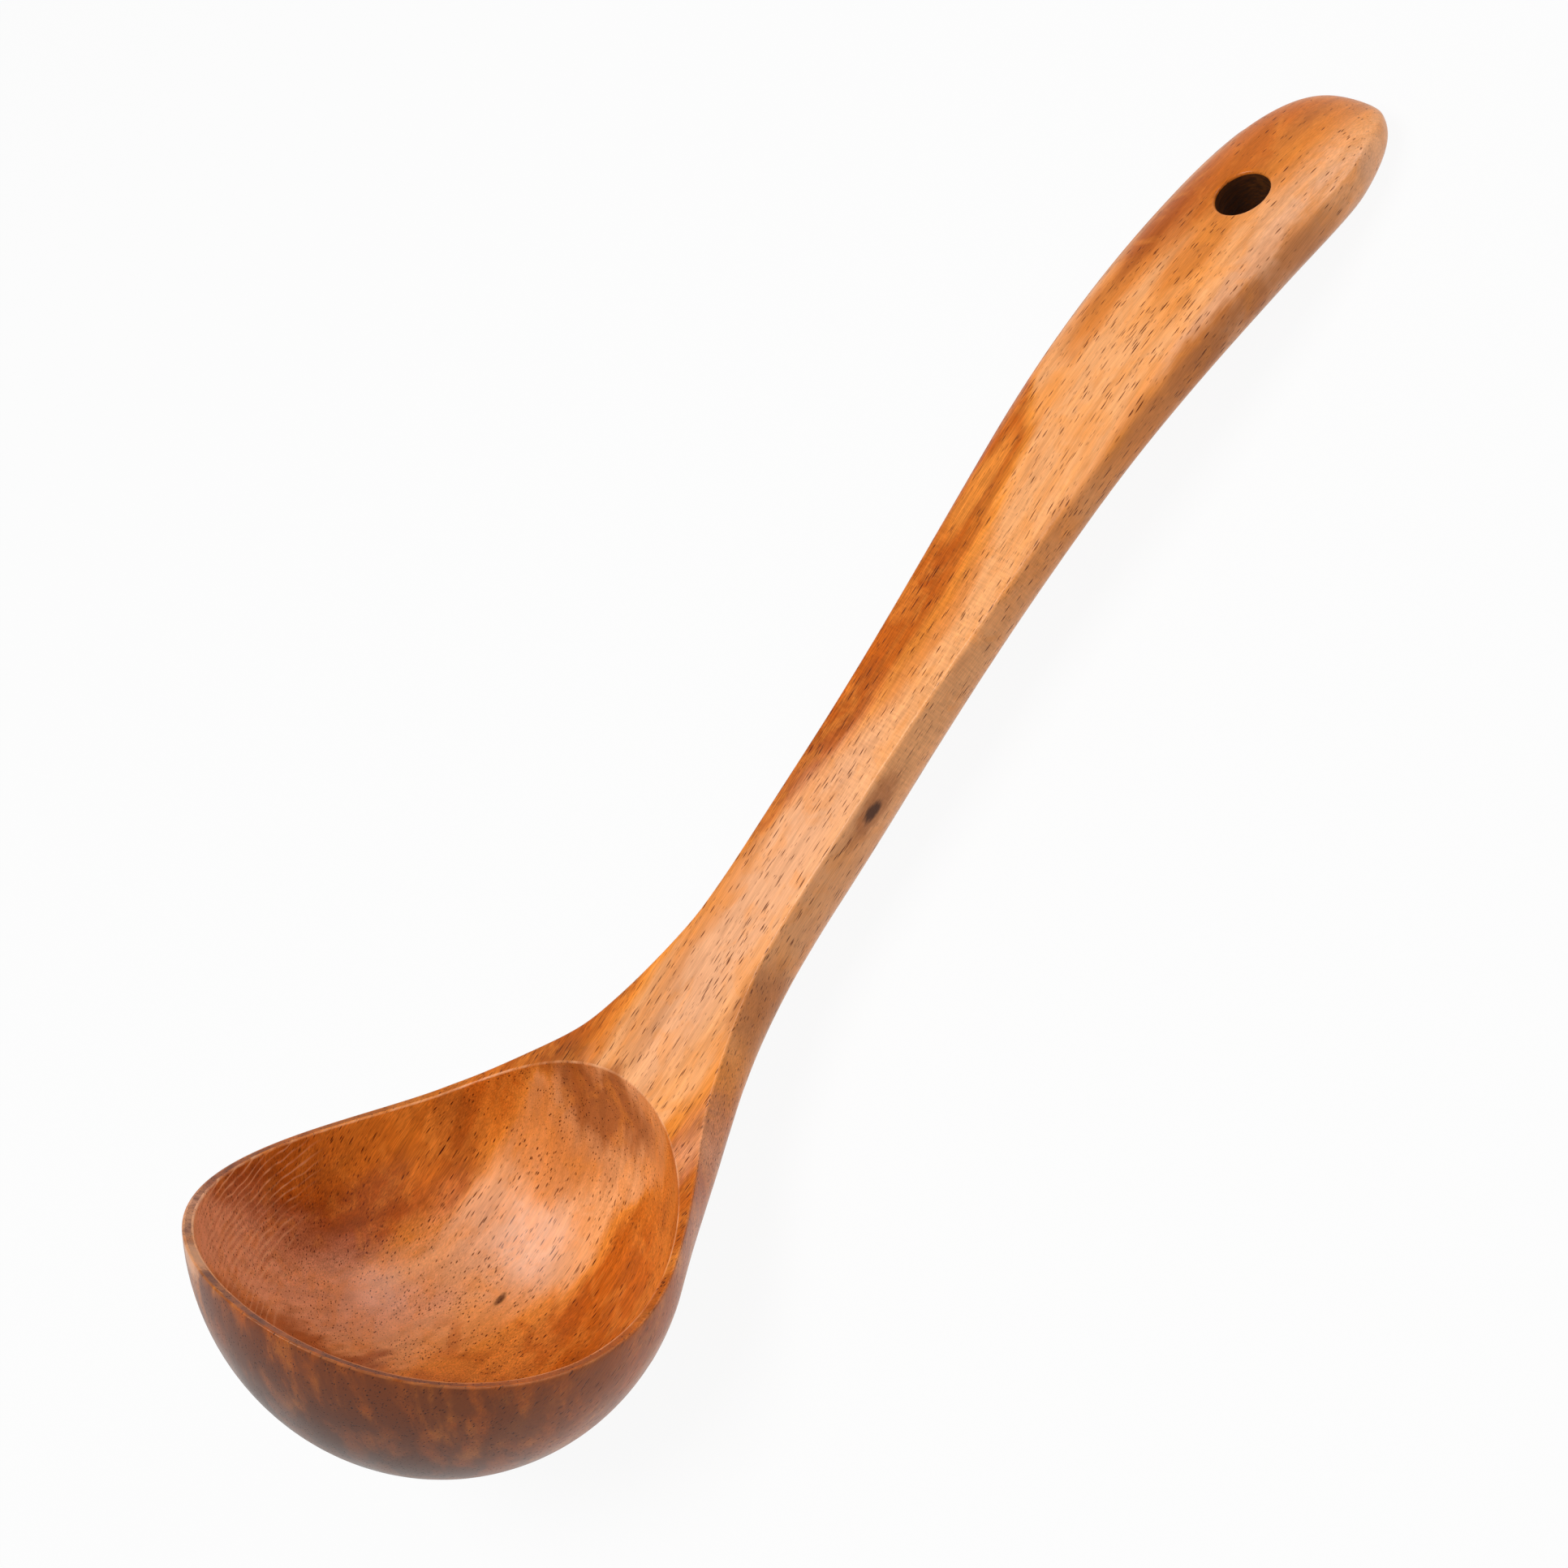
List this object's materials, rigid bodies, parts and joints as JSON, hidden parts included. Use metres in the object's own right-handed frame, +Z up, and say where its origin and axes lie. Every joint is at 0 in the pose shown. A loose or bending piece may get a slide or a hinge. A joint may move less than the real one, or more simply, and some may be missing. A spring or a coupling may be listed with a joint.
{
  "type": "wooden soup ladle",
  "caption": "Wooden soup ladle carved from one board: deep round bowl with a swept rim, flared neck, gently bent flat-topped handle and a hanging hole.",
  "frame": {"origin": "middle of the ladle's box, on the table that it lies on", "axes": "+X along the handle from the bowl to the hanging hole, +Y across the handle, +Z up from the table"},
  "size_m": [0.295, 0.0844, 0.0807],
  "materials": {
    "lacquered_wood": "satin lacquer"
  },
  "bodies": {
    "root": {"ladle_body": "lacquered_wood"}
  },
  "joints": []
}
